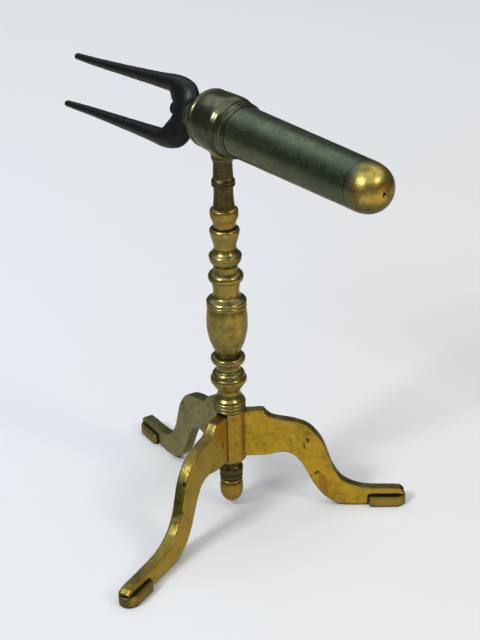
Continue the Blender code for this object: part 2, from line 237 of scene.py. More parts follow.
def plate(name, outline, thickness, round_over, voxel=0.5, lumps=0.10, seed=0.0):
    """A flat cast piece in mm: an outline given thickness, rounded by its edges and left slightly uneven."""
    work = bmesh.new()
    loop = [work.verts.new((p.x, p.y, -thickness / 2)) for p in outline]
    face = work.faces.new(loop)
    top = bmesh.ops.extrude_face_region(work, geom=[face])
    moved = [item for item in top["geom"] if isinstance(item, bmesh.types.BMVert)]
    bmesh.ops.translate(work, verts=moved, vec=(0.0, 0.0, thickness))
    bmesh.ops.recalc_face_normals(work, faces=work.faces)
    mesh = bpy.data.meshes.new(name)
    work.to_mesh(mesh)
    work.free()
    holder = bpy.data.objects.new(name + "_blank", mesh)
    bpy.context.scene.collection.objects.link(holder)
    bevel = holder.modifiers.new("round_over", "BEVEL")
    bevel.width = round_over
    bevel.segments = 3
    bevel.limit_method = "ANGLE"
    bevel.angle_limit = math.radians(50)
    remesh = holder.modifiers.new("even", "REMESH")
    remesh.mode = "VOXEL"
    remesh.voxel_size = voxel
    relax = holder.modifiers.new("relax", "SMOOTH")
    relax.factor = 0.5
    relax.iterations = 4
    bpy.context.view_layer.update()
    graph = bpy.context.evaluated_depsgraph_get()
    finished = bpy.data.meshes.new_from_object(holder.evaluated_get(graph))
    bpy.data.objects.remove(holder, do_unlink=True)
    normals = [vertex.normal.copy() for vertex in finished.vertices]
    for vertex, normal in zip(finished.vertices, normals):
        place = vertex.co / 9.0 + Vector((seed, 0.0, 0.0))
        fine = vertex.co / 2.2 + Vector((0.0, seed, 0.0))
        vertex.co -= normal * lumps * (0.6 + 0.5 * noise.noise(place) + 0.25 * noise.noise(fine))
    finished.transform(Matrix.Scale(MM, 4))
    finished.name = name
    shade(finished, 60.0)
    return finished


# ---------------------------------------------------------------- materials

class Nodes:
    """A small helper that adds and links shader nodes."""

    def __init__(self, name, axis=None):
        """axis is the matrix whose local Z the surface was turned about; without one the nodes work in world axes."""
        self.material = bpy.data.materials.new(name)
        self.material.use_nodes = True
        self.tree = self.material.node_tree
        self.shader = self.tree.nodes["Principled BSDF"]
        self.place = self.add("ShaderNodeTexCoord").outputs["Object"]
        if axis:
            local = self.add("ShaderNodeMapping", vector_type="TEXTURE")
            self.link(self.place, local.inputs["Vector"])
            local.inputs["Location"].default_value = axis.to_translation()
            local.inputs["Rotation"].default_value = axis.to_euler()
            self.place = local.outputs["Vector"]

    def add(self, kind, **settings):
        node = self.tree.nodes.new(kind)
        for key, value in settings.items():
            setattr(node, key, value)
        return node

    def link(self, source, target):
        if isinstance(source, (int, float)):
            target.default_value = source
        elif isinstance(source, (tuple, list)):
            target.default_value = (*source, 1.0) if len(source) == 3 else source
        else:
            self.tree.links.new(source, target)

    def noise(self, scale, detail=4.0, roughness=0.6, stretch=(1.0, 1.0, 1.0), distortion=0.0):
        mapping = self.add("ShaderNodeMapping")
        self.link(self.place, mapping.inputs["Vector"])
        mapping.inputs["Scale"].default_value = stretch
        found = self.add("ShaderNodeTexNoise")
        self.link(mapping.outputs["Vector"], found.inputs["Vector"])
        found.inputs["Scale"].default_value = scale
        found.inputs["Detail"].default_value = detail
        found.inputs["Roughness"].default_value = roughness
        found.inputs["Distortion"].default_value = distortion
        return found.outputs["Fac"]

    def math(self, operation, a, b=0.0, clamp=False):
        node = self.add("ShaderNodeMath", operation=operation, use_clamp=clamp)
        self.link(a, node.inputs[0])
        self.link(b, node.inputs[1])
        return node.outputs[0]

    def band(self, value, low, high, out_low=0.0, out_high=1.0):
        node = self.add("ShaderNodeMapRange", interpolation_type="SMOOTHSTEP")
        self.link(value, node.inputs["Value"])
        for key, number in (("From Min", low), ("From Max", high), ("To Min", out_low), ("To Max", out_high)):
            node.inputs[key].default_value = number
        return node.outputs["Result"]

    def mix(self, share, a, b):
        node = self.add("ShaderNodeMix", data_type="RGBA")
        self.link(share, node.inputs["Factor"])
        self.link(a, node.inputs["A"])
        self.link(b, node.inputs["B"])
        return node.outputs["Result"]

    def occlusion_mask(self, distance):
        """0 in the open and towards 1 in grooves and corners, from ambient occlusion, which measures shade."""
        shade_node = self.add("ShaderNodeAmbientOcclusion", samples=8)
        shade_node.inputs["Distance"].default_value = distance
        return self.math("SUBTRACT", 1.0, shade_node.outputs["AO"], clamp=True)

    def along(self, axis):
        """One coordinate of the surface, in metres, in the frame of its axis."""
        split = self.add("ShaderNodeSeparateXYZ")
        self.link(self.place, split.inputs["Vector"])
        return split.outputs[axis]

    def upward(self):
        """One on upward faces and 0 on upright ones."""
        split = self.add("ShaderNodeSeparateXYZ")
        self.link(self.add("ShaderNodeNewGeometry").outputs["Normal"], split.inputs["Vector"])
        return self.band(split.outputs["Z"], 0.50, 0.88)

    def rim(self):
        """One on the edge of a leg and 0 on its flat sides, which look across the way out from the column."""
        across = self.add("ShaderNodeVectorMath", operation="CROSS_PRODUCT")
        across.inputs[0].default_value = (0.0, 0.0, 1.0)
        self.link(self.place, across.inputs[1])
        unit = self.add("ShaderNodeVectorMath", operation="NORMALIZE")
        self.link(across.outputs["Vector"], unit.inputs[0])
        facing = self.add("ShaderNodeVectorMath", operation="DOT_PRODUCT")
        self.link(unit.outputs["Vector"], facing.inputs[0])
        self.link(self.add("ShaderNodeNewGeometry").outputs["Normal"], facing.inputs[1])
        return self.band(self.math("ABSOLUTE", facing.outputs["Value"]), 0.45, 0.80, 1.0, 0.0)

    def bump(self, height, strength, distance, under=None):
        node = self.add("ShaderNodeBump")
        node.inputs["Strength"].default_value = strength
        node.inputs["Distance"].default_value = distance
        self.link(height, node.inputs["Height"])
        if under is not None:
            self.link(under, node.inputs["Normal"])
        return node.outputs["Normal"]

    def finish(self, colour, roughness, metallic, normal):
        self.link(colour, self.shader.inputs["Base Color"])
        self.link(roughness, self.shader.inputs["Roughness"])
        self.link(metallic, self.shader.inputs["Metallic"])
        self.link(normal, self.shader.inputs["Normal"])
        return self.material


def aged_brass(name, bright, dull, dark, axis=STAND, tarnish=0.5, rough=0.34, lines=1.0, cast=0.0, shine=None,
               under=None, stain=None, edge=None, painted_shade=None, rims=False, occlusion_reach=0.0035):
    """Old brass: bright metal rubbed through a dull skin, with dirt and painted shade in the hollows.

    tarnish is how much of it is dull. lines is the depth of the lathe lines round the axis, cast that of a pitted
    skin. shine is (start, end, colour): in metres along the axis, where the metal is rubbed to that colour. stain is
    (colour, share), for patches of another tarnish. under is where, in metres of local X, the rubbed colour darkens
    below to a painted shade.
    edge is the colour of worn corners; the shade colour is painted shade laid on upward faces, or with
    rims on the edges of the legs."""
    n = Nodes(name, axis)
    cloud = n.noise(48.0, 5.0, 0.6)
    mottle = n.noise(300.0, 5.0, 0.65, distortion=0.4)
    speck = n.noise(1500.0, 3.0, 0.6)
    hollows_dirt_and_shade = n.occlusion_mask(occlusion_reach)
    blend = n.math("ADD", n.math("MULTIPLY", cloud, 0.66), n.math("MULTIPLY", mottle, 0.34))
    worn = n.band(blend, 0.62 - tarnish * 0.36, 0.90 - tarnish * 0.36)
    worn = n.math("ADD", worn, n.math("MULTIPLY", hollows_dirt_and_shade, 0.9), clamp=True)
    skin = n.mix(worn, bright, dull)
    if stain:
        patch = n.noise(26.0, 4.0, 0.7, distortion=0.6)
        skin = n.mix(n.band(patch, 0.70 - stain[1] * 0.3, 0.80 - stain[1] * 0.3, 0.0, 0.85), skin, stain[0])
    if shine:
        start, end, gold = shine
        wander = n.math("MULTIPLY", n.math("SUBTRACT", n.noise(70.0, 3.0, 0.6), 0.5), 0.012)
        polished = n.band(n.math("ADD", n.along("Z"), wander), start, end)
        rubbed_gold_and_shade = n.mix(n.band(blend, 0.42, 0.62), gold, BRONZE)
        # Painted shade: below, in local X, the golden end darkens to bronze and the dull skin.
        if under:
            rubbed_gold_and_shade = n.mix(n.band(n.along("X"), *under), rubbed_gold_and_shade, n.mix(n.band(mottle, 0.35, 0.65), BRONZE, dull))
        skin = n.mix(polished, skin, rubbed_gold_and_shade)
    # Painted shade: upward faces, or with rims the edges of the legs, are darkened to the shade colour.
    if painted_shade:
        shade_mask = n.math("MULTIPLY", n.rim() if rims else n.upward(), n.band(cloud, 0.30, 0.60, 0.95, 0.60))
        skin = n.mix(shade_mask, skin, painted_shade)
    skin = n.mix(n.band(speck, 0.60, 0.74, 0.0, 0.5), skin, dark)
    # Dirt and painted shade: the hollows that ambient occlusion finds are darkened to the dark colour.
    skin = n.mix(n.band(hollows_dirt_and_shade, 0.18, 0.70), skin, dark)
    if edge:
        bevel = n.add("ShaderNodeBevel", samples=6)
        bevel.inputs["Radius"].default_value = 0.0007
        facing = n.add("ShaderNodeVectorMath", operation="DOT_PRODUCT")
        n.link(bevel.outputs["Normal"], facing.inputs[0])
        n.link(n.add("ShaderNodeNewGeometry").outputs["Normal"], facing.inputs[1])
        rubbed = n.band(n.math("SUBTRACT", 1.0, facing.outputs["Value"]), 0.01, 0.10)
        rubbed = n.math("MULTIPLY", rubbed, n.band(mottle, 0.38, 0.62, 0.35, 0.9))
        skin = n.mix(rubbed, skin, edge)
    roughness = n.math("ADD", n.band(mottle, 0.35, 0.7, rough - 0.06, rough + 0.12), n.math("MULTIPLY", worn, 0.08))
    roughness = n.math("ADD", roughness, n.band(hollows_dirt_and_shade, 0.18, 0.7, 0.0, 0.25))
    normal = n.bump(speck, 0.22, 0.00006)
    if lines:
        normal = n.bump(n.noise(800.0, 2.0, 0.6, stretch=(0.02, 0.02, 1.0)), 0.55 * lines, 0.00010, normal)
        normal = n.bump(n.noise(2600.0, 1.0, 0.5, stretch=(0.01, 0.01, 1.0)), 0.30 * lines, 0.00004, normal)
    scratches = n.noise(420.0, 2.0, 0.5, stretch=(1.0, 0.08, 0.35), distortion=0.8)
    normal = n.bump(n.band(scratches, 0.60, 0.66), 0.12, 0.00005, normal)
    if cast:
        pits = n.add("ShaderNodeTexVoronoi")
        n.link(n.place, pits.inputs["Vector"])
        pits.inputs["Scale"].default_value = 420.0
        normal = n.bump(n.band(pits.outputs["Distance"], 0.08, 0.22), 0.25 * cast, 0.00012, normal)
        normal = n.bump(n.noise(170.0, 4.0, 0.6), 0.40 * cast, 0.0005, normal)
        normal = n.bump(n.noise(45.0, 3.0, 0.6), 0.40 * cast, 0.0012, normal)
        gouges = n.noise(150.0, 1.0, 0.4, stretch=(1.0, 0.25, 0.5), distortion=1.5)
        gouged = n.band(gouges, 0.70, 0.74)
        normal = n.bump(gouged, -0.5 * cast, 0.0004, normal)
        skin = n.mix(n.math("MULTIPLY", gouged, 0.8), skin, dark)
    return n.finish(skin, roughness, 0.93, normal)


def old_iron(name, black, rust, rusting, rough=0.55):
    """Forged iron with a dark oxide skin, rusting where rusting is high."""
    n = Nodes(name)
    cloud = n.noise(70.0, 5.0, 0.65)
    grit = n.noise(900.0, 4.0, 0.7)
    amount = n.math("ADD", n.math("MULTIPLY", cloud, 0.6), n.math("MULTIPLY", grit, 0.4))
    rusted = n.band(amount, 0.72 - rusting * 0.4, 0.84 - rusting * 0.4)
    skin = n.mix(rusted, black, rust)
    skin = n.mix(n.band(grit, 0.35, 0.62, 0.55, 0.0), skin, (0.008, 0.008, 0.009))
    roughness = n.math("ADD", rough - 0.08, n.math("MULTIPLY", rusted, 0.28))
    roughness = n.math("ADD", roughness, n.band(grit, 0.4, 0.6, 0.10, -0.04))
    normal = n.bump(grit, 0.55, 0.0002)
    normal = n.bump(n.noise(330.0, 3.0, 0.6), 0.40, 0.0005, normal)
    normal = n.bump(n.noise(120.0, 2.0, 0.5), 0.35, 0.0009, normal)
    metallic = n.math("SUBTRACT", 0.65, n.math("MULTIPLY", rusted, 0.5))
    return n.finish(skin, roughness, metallic, normal)


BRONZE = (0.23, 0.155, 0.035)
# The dark colour of dirt specks and gouges, and of the painted shade in the hollows.
DIRT_AND_SHADE = (0.018, 0.015, 0.008)
WORN_EDGE = (0.62, 0.50, 0.20)
# Painted shade laid on the rims of the legs and pads.
RIM_SHADE = (0.085, 0.078, 0.032)
TUBE_BRIGHT = (0.150, 0.175, 0.095)
TUBE_DULL = (0.088, 0.120, 0.080)
HANDLED = (126.0 * MM, 136.0 * MM, (0.58, 0.44, 0.115))  # the barrel's end is kept golden by hands
RUBBED_KNOP = (213.0 * MM, 208.5 * MM, (0.42, 0.31, 0.070))  # below it the stem is rubbed, above it tarnished
# Its under setting darkens the underside of the golden end with painted shade.
TUBE_SKIN = dict(axis=BARREL, tarnish=0.85, rough=0.24, lines=0.6, shine=HANDLED, under=(-0.001, 0.009),
                 stain=((0.13, 0.120, 0.066), 0.20))

tube_brass = aged_brass("tube_brass", TUBE_BRIGHT, TUBE_DULL, DIRT_AND_SHADE, **TUBE_SKIN)
cap_brass = aged_brass("cap_brass", TUBE_BRIGHT, TUBE_DULL, DIRT_AND_SHADE, **TUBE_SKIN)
collar_brass = aged_brass("collar_brass", (0.135, 0.145, 0.078), (0.048, 0.062, 0.042), DIRT_AND_SHADE, axis=BARREL,
                          tarnish=0.70, rough=0.18, lines=0.7, stain=((0.19, 0.165, 0.090), 0.30),
                          edge=(0.34, 0.34, 0.20))
stem_brass = aged_brass("stem_brass", (0.120, 0.102, 0.046), (0.052, 0.050, 0.030), DIRT_AND_SHADE, tarnish=0.66, rough=0.26,
                        lines=1.3, shine=RUBBED_KNOP, edge=WORN_EDGE)
# The column's upward faces take a painted shade.
column_brass = aged_brass("column_brass", (0.390, 0.310, 0.085), (0.165, 0.155, 0.062), DIRT_AND_SHADE, tarnish=0.58,
                          rough=0.23, lines=1.0, edge=WORN_EDGE, painted_shade=(0.13, 0.13, 0.055), occlusion_reach=0.005)
hub_brass = aged_brass("hub_brass", (0.40, 0.285, 0.050), (0.21, 0.15, 0.032), DIRT_AND_SHADE, tarnish=0.5, rough=0.33,
                       lines=0.8, cast=0.5, edge=WORN_EDGE)
leg_brass = aged_brass("leg_brass", (0.53, 0.365, 0.040), (0.29, 0.200, 0.030), DIRT_AND_SHADE, tarnish=0.50, rough=0.32,
                       lines=0.0, cast=1.2, edge=WORN_EDGE, painted_shade=RIM_SHADE, rims=True, stain=((0.34, 0.175, 0.040), 0.35))
back_leg_brass = aged_brass("back_leg_brass", (0.34, 0.315, 0.130), (0.20, 0.190, 0.080), DIRT_AND_SHADE, tarnish=0.6,
                            rough=0.36, lines=0.0, cast=1.0, edge=WORN_EDGE, painted_shade=RIM_SHADE, rims=True)
pad_brass = aged_brass("pad_brass", (0.34, 0.250, 0.048), (0.165, 0.130, 0.034), DIRT_AND_SHADE, tarnish=0.6, rough=0.36,
                       lines=0.0, cast=1.2, edge=WORN_EDGE, painted_shade=RIM_SHADE, rims=True)
washer_brass = aged_brass("washer_brass", (0.105, 0.083, 0.036), (0.050, 0.042, 0.022), DIRT_AND_SHADE, tarnish=0.7, rough=0.32)
acorn_brass = aged_brass("acorn_brass", (0.33, 0.225, 0.040), (0.17, 0.120, 0.024), DIRT_AND_SHADE, tarnish=0.5, rough=0.27)
fork_iron = old_iron("fork_iron", (0.012, 0.019, 0.021), (0.040, 0.028, 0.021), 0.15, rough=0.42)
slug_iron = old_iron("slug_iron", (0.050, 0.042, 0.038), (0.085, 0.055, 0.040), 0.60, rough=0.60)


# ---------------------------------------------------------------- barrel

def tube_radius(station):
    """The tube's radius at a distance along the barrel: even under the collar, then tapering to the tip."""
    share = (station - COLLAR_END) / (TUBE_END - COLLAR_END)
    return TUBE_MOUTH_R + (TUBE_TIP_R - TUBE_MOUTH_R) * min(max(share, 0.0), 1.0)


def build_barrel():
    stations = (TUBE_END, 92.0, 58.0, COLLAR_END, BARREL_MOUTH + 1.0)
    outer = [(tube_radius(s), s, True) for s in stations]
    bore = [(radius - TUBE_WALL, s, True) for radius, s, _ in reversed(outer)]
    mesh = lathe("barrel_tube_fine", outer, bore, wobble=0.12, seed=3.0)
    piece("barrel_tube_fine", mesh, BARREL, "column", "dull_brass", tube_brass, "barrel_tube")

    start = TUBE_END + GAP
    depth = DOME_TIP - start
    spigot = TUBE_TIP_R - TUBE_WALL - GAP
    outside = dome((0.0, start), (TUBE_TIP_R, depth), 86.0, 24)
    outside[0] = (PRICK_HOLE_R + 0.7, DOME_TIP - 0.05)
    outside = [(PRICK_HOLE_R, DOME_TIP - 0.7, True)] + outside
    outside[-1] = (*outside[-1], True)
    inner = spigot - SPIGOT_WALL
    skirt = [(spigot, start, True), (spigot, start - SPIGOT_DEPTH, True), (inner, start - SPIGOT_DEPTH, True)]
    inside = arc((0.0, start), (inner, depth - DOME_WALL), 0.0, 84.0, 8)
    inside[-1] = (PRICK_HOLE_R, DOME_TIP - DOME_WALL)
    mesh = lathe("barrel_end_cap_fine", outside + skirt, inside, wobble=0.10, seed=8.0)
    piece("barrel_end_cap_fine", mesh, BARREL, "column", "polished_brass", cap_brass, "barrel_end_cap")

    fit = TUBE_MOUTH_R + GAP
    collar = [
        (fit + 0.1, COLLAR_END, True), (15.8, 20.6), (15.9, 19.6, True), (16.7, 19.2, True), (16.8, 18.6),
        (16.5, 17.2), (16.4, 15.2), (16.6, 13.7), (17.4, 12.4), (18.05, 11.0), (18.3, 9.0), (18.3, 4.0), (18.0, -4.0),
        (17.5, -7.2, True), (17.2, -7.6, True), (17.8, -8.6), (17.9, -9.8), (17.5, -10.8, True), (17.2, -11.0, True),
        (17.0, -11.7), (16.4, BARREL_MOUTH), (fit, BARREL_MOUTH + 0.2, True),
    ]
    bore = [(fit, BARREL_MOUTH + 0.3, True), (fit, COLLAR_END, True)]
    mesh = lathe("mouth_collar_fine", collar, bore, wobble=0.08, seed=5.0)
    piece("mouth_collar_fine", mesh, BARREL, "column", "dull_brass", collar_brass, "mouth_collar")


# ---------------------------------------------------------------- column

def build_column():
    def section(name, outer, surface, slot="turned_brass", seed=0.0):
        top, bottom = outer[0][1], outer[-1][1]
        bore = [(ROD_BORE_R, bottom, True), (ROD_BORE_R, top, True)]
        mesh = lathe(name + "_fine", outer, bore, seed=seed)
        piece(name + "_fine", mesh, STAND, "column", slot, surface, name)

    ribs = []
    for i in range(RIB_COUNT):
        high = TOP_RIB - i * RIB_PITCH
        flare = i * 0.06
        ribs += [(5.65 + flare, high), (5.85 + flare, high - RIB_PITCH / 2)]
    section("upper_stem", [
        (7.0, FLANGE_TOP, True), (7.0, 243.4), (6.9, 242.2, True), (6.4, 241.8, True), (6.3, 240.6), *ribs,
        (6.0, 229.6, True), (6.7, 228.9, True), (7.0, 228.4), (7.2, 227.6), (6.9, 226.9, True), (7.0, 226.5, True),
        (7.3, 225.8), (7.0, 225.0), (6.3, 224.4, True), (6.0, 223.8, True), (5.95, 221.0), (6.1, 217.0),
        (6.5, 212.4), (6.9, 210.6, True), (8.2, 209.9), (8.6, 208.6), (8.7, 206.4), (8.4, 204.6), (7.5, 202.4),
        (6.95, 200.2), (6.8, 199.0, True), (6.6, STEM_END, True),
    ], stem_brass, seed=1.0)

    top = STEM_END - GAP
    section("cone_knop", [
        (8.3, top, True), (9.0, 197.0), (9.2, 196.0), (9.1, 194.6), (8.3, 191.4), (7.3, 188.0), (6.9, 185.8),
        (7.0, 184.4), (8.1, 182.2), (9.6, 180.7, True), (10.1, 180.0), (10.1, 178.6, True), (9.7, 178.3, True),
        (9.9, 177.6), (9.2, 175.6), (8.0, 174.0), (7.5, CONE_KNOP_END, True),
    ], column_brass, seed=2.0)

    top = CONE_KNOP_END - GAP
    section("baluster_urn", [
        (7.6, top, True), (7.5, 170.6), (7.6, 169.3, True), (9.2, 168.7), (10.5, 167.4), (11.0, 165.6),
        (10.6, 163.9), (9.6, 162.9, True), (9.0, 162.6, True), (8.8, 161.2), (8.3, 158.6), (8.1, 156.6),
        (8.2, 154.9), (8.8, 152.7), (10.9, 151.0, True), (11.7, 150.6, True), (12.4, 149.7), (12.5, 148.9),
        (12.3, 148.0, True), (12.0, 147.7, True), (12.4, 147.0), (12.4, 146.2), (12.2, 145.5, True),
        (11.9, 145.2, True), (12.1, 144.4), (12.5, 142.0), (12.8, 137.5), (12.8, 133.4), (12.6, 129.6), (12.0, 126.0),
        (11.1, 122.2), (9.8, 118.6), (8.4, 115.4), (7.5, 113.2), (7.4, BALUSTER_END, True),
    ], column_brass, seed=3.0)

    top = BALUSTER_END - GAP
    section("lower_knop", [
        (9.0, top, True), (10.1, 111.2), (10.8, 110.2), (10.8, 108.4), (10.2, 107.1), (9.0, 106.2, True),
        (8.0, 105.6, True), (7.6, 104.2), (7.5, 102.4), (8.0, 101.0, True), (9.2, 100.2), (10.1, 98.9),
        (10.4, 97.6, True), (10.6, 97.2, True), (11.3, 96.0), (11.5, 94.5), (11.2, 93.0), (10.4, 91.9, True),
        (9.9, 91.6, True), (9.3, 90.0), (7.8, 88.0), (7.2, 86.2), (7.3, 84.6), (8.2, 82.4), (9.4, 80.8),
        (9.7, LOWER_KNOP_END, True),
    ], column_brass, seed=4.0)

    rings = []
    high, low = LOWER_KNOP_END - GAP, HUB_TOP + GAP
    pitch = (high - low) / 3
    for i in range(3):
        at = high - i * pitch
        rings += [(9.6, at, True), (10.2, at - pitch * 0.18), (10.5, at - pitch * 0.5), (10.2, at - pitch * 0.82)]
    section("ring_stack", rings + [(9.7, low, True)], column_brass, seed=5.0)


def build_saddle():
    """The pad under the collar, hollowed to the collar's curve."""
    profile = [(7.9, SADDLE_TOP, True), (7.9, 246.6), (7.4, 245.6), (7.0, 245.0), (7.0, FLANGE_TOP + GAP, True)]
    mesh = lathe("saddle_boss_fine", profile, sides=96)
    blank = bpy.data.objects.new("saddle_blank", mesh)
    cylinder = [(SADDLE_HOLLOW_R, 40.0, True), (SADDLE_HOLLOW_R, -40.0, True)]
    sleeve = bpy.data.objects.new("sleeve", lathe("sleeve", cylinder, wobble=0.0, sides=192))
    for holder, matrix in ((blank, STAND), (sleeve, BARREL)):
        bpy.context.scene.collection.objects.link(holder)
        holder.matrix_world = matrix
    finished = carve(blank, [sleeve])
    piece("saddle_boss_fine", finished, STAND, "column", "turned_brass", column_brass, "saddle_boss")


def carve(blank, tools):
    """The blank's mesh with the tools cut away, in its own frame. The blank and the tools are removed."""
    for tool in tools:
        boolean = blank.modifiers.new(tool.name, "BOOLEAN")
        boolean.operation = "DIFFERENCE"
        boolean.solver = "EXACT"
        boolean.object = tool
    bpy.context.view_layer.update()
    graph = bpy.context.evaluated_depsgraph_get()
    finished = bpy.data.meshes.new_from_object(blank.evaluated_get(graph))
    for holder in [blank, *tools]:
        bpy.data.objects.remove(holder, do_unlink=True)
    shade(finished)
    return finished


# ---------------------------------------------------------------- heater

def build_slug():
    face = BRIDGE_STATION + SHOULDER_STATION + GAP
    head = BRIDGE_STATION + HEAD_STATION - GAP
    profile = [
        (SLUG_R - 2.0, SLUG_END, True), (SLUG_R, SLUG_END - 3.0), (SLUG_R, 40.0), (SLUG_R, -14.0),
        (SLUG_R - 0.3, face + 3.0), (SLUG_R - 0.8, face + 1.0), (SLUG_R - 1.8, face, True), (TANG_R, face, True),
        (TANG_R, head, True), (HEAD_R, head, True), (HEAD_R - 0.2, head - 0.8), (HEAD_R - 1.0, head - 1.4),
        (HEAD_R - 3.0, head - HEAD_THICKNESS, True),
    ]
    mesh = lathe("heater_slug_fine", profile, wobble=0.25, seed=9.0, sides=96)
    piece("heater_slug_fine", mesh, HEATER, "heater", "rusty_iron", slug_iron, "heater_slug")


def fork_sections():
    """Sections of the bar from one tip over the bridge to the other: inner edge, outer edge and half thickness,
    with each edge as (along, across) in the fork's plane, in mm."""
    tip = PRONG_LENGTH
    half = [
        ((tip, 15.7), (tip, 16.7), 0.5), ((tip - 0.6, 14.8), (tip - 0.6, 17.5), 1.4),
        ((tip - 2.0, 14.1), (tip - 2.0, 18.1), 2.0), ((tip - 5.0, 13.7), (tip - 5.0, 18.4), 2.4),
        ((100.0, 12.8), (100.0, 18.9), 3.0), ((60.0, 12.2), (60.0, 20.2), 4.0), ((30.0, 11.6), (30.0, 21.5), 5.0),
        ((17.0, 11.0), (14.0, 22.5), 5.6), ((14.0, 9.0), (4.0, 21.8), 6.0), ((12.4, 6.6), (-4.0, 19.2), 6.3),
        ((9.9, 4.0), (-9.4, 13.0), 6.5), ((8.0, 1.6), (-10.2, 5.6), 6.5),
    ]
    other = [((a, -b), (c, -d), thickness) for (a, b), (c, d), thickness in reversed(half)]
    found = [[*inner, *outer, thickness] for inner, outer, thickness in half]
    found.append([7.2, 0.0, -10.2, 0.0, 6.5])
    found += [[*inner, *outer, thickness] for inner, outer, thickness in other]
    return [Vector(section) for section in found]


def fork_mesh():
    """The fork in the slug's frame, lofted through its sections and dented as a forged bar is."""
    sides, spacing, dent_depth = 56, 0.9, 0.22
    back = Vector((0.0, 0.0, -1.0))
    up = Vector((-1.0, 0.0, 0.0))
    side = back.cross(up)
    across = up * math.cos(FORK_ROLL) + side * math.sin(FORK_ROLL)
    along = back * math.cos(FORK_DROOP) - up * math.sin(FORK_DROOP)
    middle = back * -BRIDGE_STATION - up * FORK_SET
    square = along.cross(across).normalized()
    knots = fork_sections()
    places = []
    for i in range(len(knots) - 1):
        before, after = knots[max(i - 1, 0)], knots[min(i + 2, len(knots) - 1)]
        steps = max(2, round((knots[i + 1] - knots[i]).length / spacing))
        places += [catmull(before, knots[i], knots[i + 1], after, step / steps) for step in range(steps)]
    places.append(knots[-1])
    work = bmesh.new()
    rings = []
    for section in places:
        near = middle + along * section[0] + across * section[1]
        far = middle + along * section[2] + across * section[3]
        ring = []
        for k in range(sides):
            angle = 2.0 * math.pi * k / sides
            place = (near + far) / 2 + (far - near) / 2 * math.cos(angle) + square * section[4] * math.sin(angle)
            inwards = ((near + far) / 2 - place).normalized()
            dents = 0.5 + 0.5 * noise.noise(place / 6.0) + 0.35 * noise.noise(place / 2.2)
            ring.append(work.verts.new((place + inwards * dent_depth * dents) * MM))
        rings.append(ring)
    for first, second in zip(rings, rings[1:]):
        for k in range(sides):
            j = (k + 1) % sides
            work.faces.new((first[k], first[j], second[j], second[k]))
    for ring in (rings[0], rings[-1]):
        work.faces.new(ring)
    bmesh.ops.recalc_face_normals(work, faces=work.faces)
    mesh = bpy.data.meshes.new("heater_fork_fine")
    work.to_mesh(mesh)
    work.free()
    return mesh


def build_fork():
    """The fork, with room cut in it for the slug's shoulder, its tang and the tang's head."""
    seat = BRIDGE_STATION + HEAD_STATION
    face = BRIDGE_STATION + SHOULDER_STATION
    reach = 30.0
    cuts = {"tang_hole": (TANG_R + GAP, seat + reach, seat - reach), "slug_seat": (SLUG_R + 1.0, face + reach, face),
            "head_seat": (HEAD_R + 0.6, seat, seat - reach)}
    blank = bpy.data.objects.new("fork_blank", fork_mesh())
    tools = []
    for name, (radius, high, low) in cuts.items():
        mesh = lathe(name, [(radius, high, True), (radius, low, True)], wobble=0.0, sides=64)
        tools.append(bpy.data.objects.new(name, mesh))
    for holder in [blank, *tools]:
        bpy.context.scene.collection.objects.link(holder)
        holder.matrix_world = HEATER
    finished = carve(blank, tools)
    piece("heater_fork_fine", finished, HEATER, "fork", "black_iron", fork_iron, "heater_fork")


# ---------------------------------------------------------------- tripod

def leg_outline(toe):
    """(distance from the column's axis, height, corner) round the leg's side view, drawn out to its toe."""
    over_pad = PAD_HEIGHT + GAP
    heel = PATTERN_TOE + 0.5 - PAD_LENGTH - GAP
    pattern = [
        (LEG_ROOT_R, ROOT_LOW, True), (LEG_ROOT_R, ROOT_HIGH, True), (21.5, 72.2, True), (24.4, 68.6, True),
        (28.5, 66.2), (42.0, 63.2), (51.4, 58.6), (58.8, 49.2), (62.8, 38.8), (66.4, 28.8), (72.6, 19.4),
        (82.5, 14.0), (92.0, 12.6), (102.0, 12.4), (PATTERN_TOE - 3.0, 12.0, True), (PATTERN_TOE, 9.4, True),
        (PATTERN_TOE - 1.0, over_pad, True), (heel, over_pad, True), (heel, LEG_CLEARANCE, True),
        (79.0, LEG_CLEARANCE, True), (69.0, 1.8), (61.2, 6.8), (54.8, 15.0), (49.8, 24.8), (44.8, 34.0),
        (40.0, 39.2), (33.0, 41.2), (24.0, 39.4), (HUB_R + 3.0, ROOT_LOW, True),
    ]
    drawn_out = (toe - ANKLE_REACH) / (PATTERN_TOE - ANKLE_REACH)
    outline = []
    for reach, *rest in pattern:
        if reach > heel - 1.0:
            reach += toe - PATTERN_TOE
        else:
            reach += max(reach - ANKLE_REACH, 0.0) * (drawn_out - 1.0)
        outline.append((reach, *rest))
    return outline


def pad_outline(toe):
    """(distance from the column's axis, sideways, corner) round a sole seen from above."""
    half = PAD_WIDTH / 2
    end = toe + 0.5
    start = end - PAD_LENGTH
    return [
        (start, -half + 1.5, True), (start, half - 1.5, True), (start + 1.5, half, True), (end - 5.0, half, True),
        (end - 1.5, half - 2.5), (end, half - 5.0, True), (end, -half + 5.0, True), (end - 1.5, -half + 2.5),
        (end - 5.0, -half, True), (start + 1.5, -half, True),
    ]


